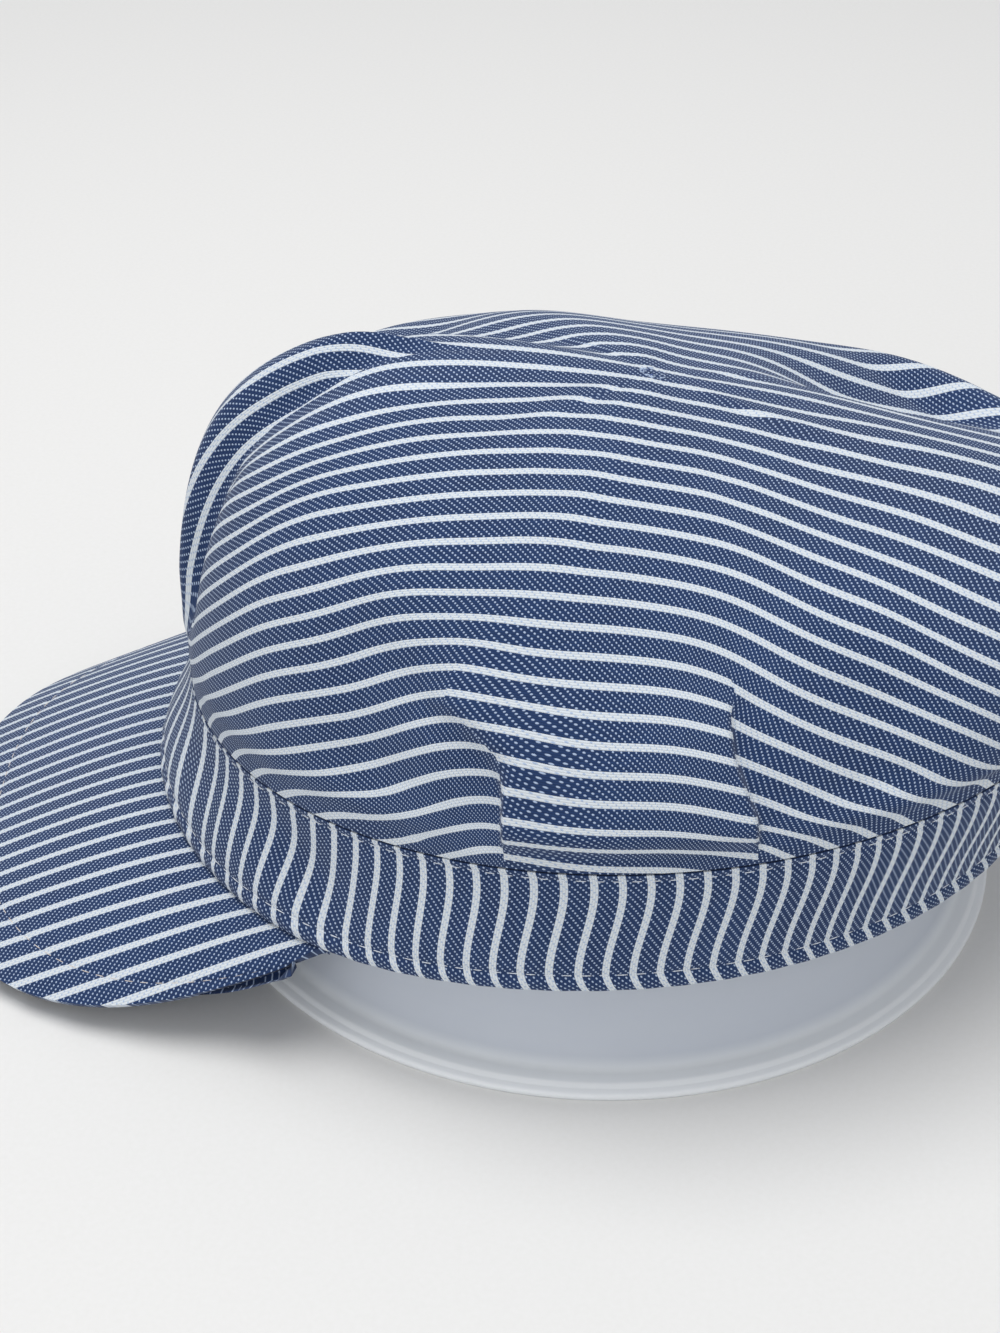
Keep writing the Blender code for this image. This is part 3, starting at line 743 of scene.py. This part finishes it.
def stitchTree():
    tree = bpy.data.node_groups.new("stitchRow", "GeometryNodeTree")
    face = tree.interface
    face.new_socket("Geometry", in_out="INPUT", socket_type="NodeSocketGeometry")
    for name in ("Stitch length", "Gap", "Thread radius", "Rise"):
        face.new_socket(name, in_out="INPUT", socket_type="NodeSocketFloat")
    face.new_socket("Seed", in_out="INPUT", socket_type="NodeSocketInt")
    face.new_socket("Thread", in_out="INPUT", socket_type="NodeSocketMaterial")
    face.new_socket("Geometry", in_out="OUTPUT", socket_type="NodeSocketGeometry")
    given = addNode(tree, "NodeGroupInput").outputs
    path = addNode(tree, "GeometryNodeMeshToCurve", None, {0: given["Geometry"]}).outputs[0]
    step = addNode(tree, "ShaderNodeMath", {"operation": "ADD"},
                   {0: given["Stitch length"], 1: given["Gap"]}).outputs[0]
    spaced = addNode(tree, "GeometryNodeResampleCurve", {"mode": "LENGTH"},
                     {"Curve": path, "Length": step}).outputs[0]
    half = addNode(tree, "ShaderNodeMath", {"operation": "MULTIPLY"},
                   {0: given["Stitch length"], 1: 0.5}).outputs[0]
    less = addNode(tree, "ShaderNodeMath", {"operation": "MULTIPLY"}, {0: half, 1: -1.0}).outputs[0]
    sink = addNode(tree, "ShaderNodeMath", {"operation": "MULTIPLY"},
                   {0: given["Thread radius"], 1: -1.6}).outputs[0]
    start = addNode(tree, "ShaderNodeCombineXYZ", None, {0: less, 2: sink}).outputs[0]
    top = addNode(tree, "ShaderNodeCombineXYZ", None, {2: given["Rise"]}).outputs[0]
    finish = addNode(tree, "ShaderNodeCombineXYZ", None, {0: half, 2: sink}).outputs[0]
    bow = addNode(tree, "GeometryNodeCurveQuadraticBezier", None,
                  {"Resolution": 5, "Start": start, "Middle": top, "End": finish}).outputs[0]
    yarn = addNode(tree, "GeometryNodeCurvePrimitiveCircle", None,
                     {"Resolution": 5, "Radius": given["Thread radius"]}).outputs[0]
    thread = addNode(tree, "GeometryNodeCurveToMesh", None,
                     {"Curve": bow, "Profile Curve": yarn, "Fill Caps": True}).outputs[0]
    tangent = addNode(tree, "GeometryNodeInputTangent").outputs[0]
    facing = addNode(tree, "GeometryNodeInputNamedAttribute", {"data_type": "FLOAT_VECTOR"},
                     {"Name": "facing"}).outputs[0]
    turned = addNode(tree, "FunctionNodeAlignRotationToVector", {"axis": "X"},
                     {"Vector": tangent}).outputs[0]
    turned = addNode(tree, "FunctionNodeAlignRotationToVector", {"axis": "Z", "pivot_axis": "X"},
                     {"Rotation": turned, "Vector": facing}).outputs[0]
    uneven = addNode(tree, "FunctionNodeRandomValue", {"data_type": "FLOAT"},
                     {2: 0.86, 3: 1.04, "Seed": given["Seed"]}).outputs[1]
    scale = addNode(tree, "ShaderNodeCombineXYZ", None, {0: uneven, 1: 1.0, 2: 1.0}).outputs[0]
    laid = addNode(tree, "GeometryNodeInstanceOnPoints", None,
                   {"Points": spaced, "Instance": thread, "Rotation": turned,
                    "Scale": scale}).outputs[0]
    real = addNode(tree, "GeometryNodeRealizeInstances", None, {0: laid}).outputs[0]
    soft = addNode(tree, "GeometryNodeSetShadeSmooth", None, {0: real}).outputs[0]
    done = addNode(tree, "GeometryNodeSetMaterial", None,
                   {"Geometry": soft, "Material": given["Thread"]}).outputs[0]
    addNode(tree, "NodeGroupOutput", None, {0: done})
    return tree


# Runs a tree on a piece and leaves its result as a plain mesh
def runTree(piece, tree, values):
    modifier = piece.modifiers.new(tree.name, "NODES")
    modifier.node_group = tree
    for item in tree.interface.items_tree:
        if item.item_type == "SOCKET" and item.in_out == "INPUT" and item.name in values:
            modifier[item.identifier] = values[item.name]
    applyModifiers(piece)


def makeStitches(name, points, facing, closed, thread, tree):
    mesh = bpy.data.meshes.new(name)
    count = len(points)
    edges = [(i, (i + 1) % count) for i in range(count if closed else count - 1)]
    mesh.from_pydata((points + axis).tolist(), edges, [])
    store = mesh.attributes.new("facing", "FLOAT_VECTOR", "POINT")
    store.data.foreach_set("vector", facing.astype(np.float32).ravel())
    piece = bpy.data.objects.new(name, mesh)
    bpy.context.scene.collection.objects.link(piece)
    runTree(piece, tree, {"Stitch length": stitch["length"], "Gap": stitch["gap"],
                          "Thread radius": stitch["radius"], "Rise": stitch["rise"],
                          "Seed": stitch["seed"], "Thread": thread})
    return piece


def facingOf(points, before, after, up, down):
    normal = np.cross(after - before, up - down)
    return normal / np.linalg.norm(normal, axis=-1, keepdims=True)


def bandStitches(name, level, tree):
    angles = np.linspace(-180, 180, 721)[:-1]
    points = bandPoint(angles, np.full_like(angles, level))
    facing = facingOf(points, bandPoint(angles - 0.3, np.full_like(angles, level)),
                      bandPoint(angles + 0.3, np.full_like(angles, level)),
                      bandPoint(angles, np.full_like(angles, level + 0.03)),
                      bandPoint(angles, np.full_like(angles, level - 0.03)))
    return makeStitches(name, points, facing, True, threadWhite, tree)


def peakStitches(name, tree):
    across = np.linspace(-0.93, 0.93, 401)
    along = np.full_like(across, peak["stitchRow"])
    points = peakPoint(across, along)
    facing = facingOf(points, peakPoint(across - 0.004, along), peakPoint(across + 0.004, along),
                      peakPoint(across, along - 0.02), peakPoint(across, along + 0.02))
    return makeStitches(name, points, facing, False, threadTan, tree)


# Tub: Geometry Nodes turn its section round its axis

tub = {
    "steps": 160, "wall": 1.4 * mm, "corner": 8 * mm, "topRadius": 59 * mm,
    "rimRadius": (standHigh[0] - standLow[0]) / 2, "rimWidth": 5.5 * mm, "height": standHigh[2],
}


def tubSection():
    height, wall, corner = tub["height"], tub["wall"], tub["corner"]
    foot = tub["rimRadius"] - tub["rimWidth"]
    rim = tub["rimRadius"]

    def arc(radius, level, rounding, count):
        turns = [math.pi / 2 * i / count for i in range(count + 1)]
        return [(radius - rounding + rounding * math.sin(t),
                 level - rounding + rounding * math.cos(t)) for t in turns]

    outside = arc(tub["topRadius"], height, corner, 10)
    inside = arc(tub["topRadius"] - wall, height - wall, corner - wall, 10)
    slope = (foot - tub["topRadius"]) / (height - corner)
    flare = [(foot - slope * 4 * mm, 4.4 * mm), (foot + 0.15 * mm, 3.2 * mm),
             (foot + 0.6 * mm, 2.6 * mm), (foot + 1.3 * mm, 2.35 * mm)]
    bead = [(rim - 2.5 * mm, 2.3 * mm), (rim - 1.9 * mm, 2.1 * mm), (rim - 1.65 * mm, 1.55 * mm),
            (rim - 1.4 * mm, 1.45 * mm), (rim - 0.5 * mm, 1.4 * mm), (rim - 0.1 * mm, 1.1 * mm),
            (rim, 0.7 * mm), (rim - 0.1 * mm, 0.15 * mm), (rim - 0.4 * mm, 0)]
    return [(0, height), (tub["topRadius"] * 0.5, height), *outside, *flare, *bead,
            (foot - wall + 0.3 * mm, 0), (foot - wall, 0.3 * mm), *reversed(inside),
            (tub["topRadius"] * 0.5, height - wall), (0, height - wall)]


def latheTree():
    tree = bpy.data.node_groups.new("turnedTub", "GeometryNodeTree")
    face = tree.interface
    face.new_socket("Geometry", in_out="INPUT", socket_type="NodeSocketGeometry")
    face.new_socket("Steps", in_out="INPUT", socket_type="NodeSocketInt")
    face.new_socket("Plastic", in_out="INPUT", socket_type="NodeSocketMaterial")
    face.new_socket("Geometry", in_out="OUTPUT", socket_type="NodeSocketGeometry")
    given = addNode(tree, "NodeGroupInput").outputs
    # The section is drawn with its distance from a circle of 1 mm, so that the turn is a sweep
    section = addNode(tree, "GeometryNodeMeshToCurve", None, {0: given["Geometry"]}).outputs[0]
    ring = addNode(tree, "GeometryNodeCurvePrimitiveCircle", None,
                   {"Resolution": given["Steps"], "Radius": 1 * mm}).outputs[0]
    turned = addNode(tree, "GeometryNodeCurveToMesh", None,
                     {"Curve": ring, "Profile Curve": section}).outputs[0]
    closed = addNode(tree, "GeometryNodeMergeByDistance", None,
                     {"Geometry": turned, "Distance": 0.01 * mm}).outputs[0]
    soft = addNode(tree, "GeometryNodeSetShadeSmooth", None, {0: closed}).outputs[0]
    done = addNode(tree, "GeometryNodeSetMaterial", None,
                   {"Geometry": soft, "Material": given["Plastic"]}).outputs[0]
    addNode(tree, "NodeGroupOutput", None, {0: done})
    return tree


def makeTub():
    section = tubSection()
    mesh = bpy.data.meshes.new("plasticTub")
    places = [(radius - 1 * mm, -level, 0) for radius, level in section]
    mesh.from_pydata(places, [(i, i + 1) for i in range(len(places) - 1)], [])
    piece = bpy.data.objects.new("plasticTub", mesh)
    bpy.context.scene.collection.objects.link(piece)
    runTree(piece, latheTree(), {"Steps": tub["steps"], "Plastic": tubPlastic})
    shape = bmesh.new()
    shape.from_mesh(piece.data)
    bmesh.ops.recalc_face_normals(shape, faces=shape.faces)
    bmesh.ops.translate(shape, vec=Vector(axis), verts=shape.verts)
    shape.to_mesh(piece.data)
    shape.free()
    return piece


crownPiece = makeCrown()
print("crown made,", len(crownPiece.data.polygons), "faces")
bandPiece = makeBand()
print("band made,", len(bandPiece.data.polygons), "faces")
peakPiece = makePeak()
print("peak made,", len(peakPiece.data.polygons), "faces")
tubPiece = makeTub()
print("tub made,", len(tubPiece.data.polygons), "faces")
stitches = stitchTree()
hemRow = bandStitches("hemStitches", band["hemLevel"], stitches)
seamRow = bandStitches("seamStitches", band["seamLevel"], stitches)
peakRow = peakStitches("peakStitches", stitches)
print("stitches made,", sum(len(row.data.polygons) for row in (hemRow, seamRow, peakRow)), "faces")

for piece in (crownPiece, bandPiece, peakPiece, tubPiece, hemRow, seamRow, peakRow):
    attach(piece, "root")
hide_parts("crown")
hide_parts("band")
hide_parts("peak")
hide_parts("stand")


# Set: floor, light and camera

studio = {"floorSize": 3.0, "camera": (90, 34), "distance": 0.463, "target": (0, -0.0192, 0.0393),
          "lens": 86.4, "worldLight": 0.56, "keyPower": 7.4, "fillPower": 1.3}


def makeFloor():
    half = studio["floorSize"] / 2
    mesh = bpy.data.meshes.new("floor")
    mesh.from_pydata([(-half, -half, 0), (half, -half, 0), (half, half, 0), (-half, half, 0)],
                     [], [(0, 1, 2, 3)])
    mesh.materials.append(studioPaper())
    piece = bpy.data.objects.new("floor", mesh)
    bpy.context.scene.collection.objects.link(piece)


def aim(thing, place, target):
    thing.location = place
    thing.rotation_euler = (Vector(target) - Vector(place)).to_track_quat("-Z", "Y").to_euler()


def makeLight(name, power, size, place, target):
    data = bpy.data.lights.new(name, "AREA")
    data.shape = "DISK"
    data.size = size
    data.energy = power
    lamp = bpy.data.objects.new(name, data)
    bpy.context.scene.collection.objects.link(lamp)
    aim(lamp, place, target)


def makeCamera():
    data = bpy.data.cameras.new("camera")
    data.sensor_fit = "HORIZONTAL"
    data.sensor_width = 36
    data.lens = studio["lens"]
    data.clip_start = 0.01
    camera = bpy.data.objects.new("camera", data)
    bpy.context.scene.collection.objects.link(camera)
    turn, rise = (math.radians(value) for value in studio["camera"])
    target = np.array(studio["target"]) + axis
    away = np.array((math.sin(turn) * math.cos(rise), -math.cos(turn) * math.cos(rise),
                     math.sin(rise)))
    aim(camera, target + away * studio["distance"], target)
    bpy.context.scene.camera = camera


makeFloor()
middle = axis + np.array((0, 0, 0.05))
makeLight("key", studio["keyPower"], 0.9, (-0.05, -0.1, 1.07), middle)
makeLight("fill", studio["fillPower"], 0.8, (0.85, -0.3, 0.38), middle)
world = bpy.data.worlds.new("studio")
world.use_nodes = True
world.node_tree.nodes["Background"].inputs[0].default_value = linear("#F4F6FA")
world.node_tree.nodes["Background"].inputs[1].default_value = studio["worldLight"]
bpy.context.scene.world = world
bpy.context.scene.view_settings.view_transform = "Standard"   # colours as given, no film curve
makeCamera()
print("stage, lights and camera made")
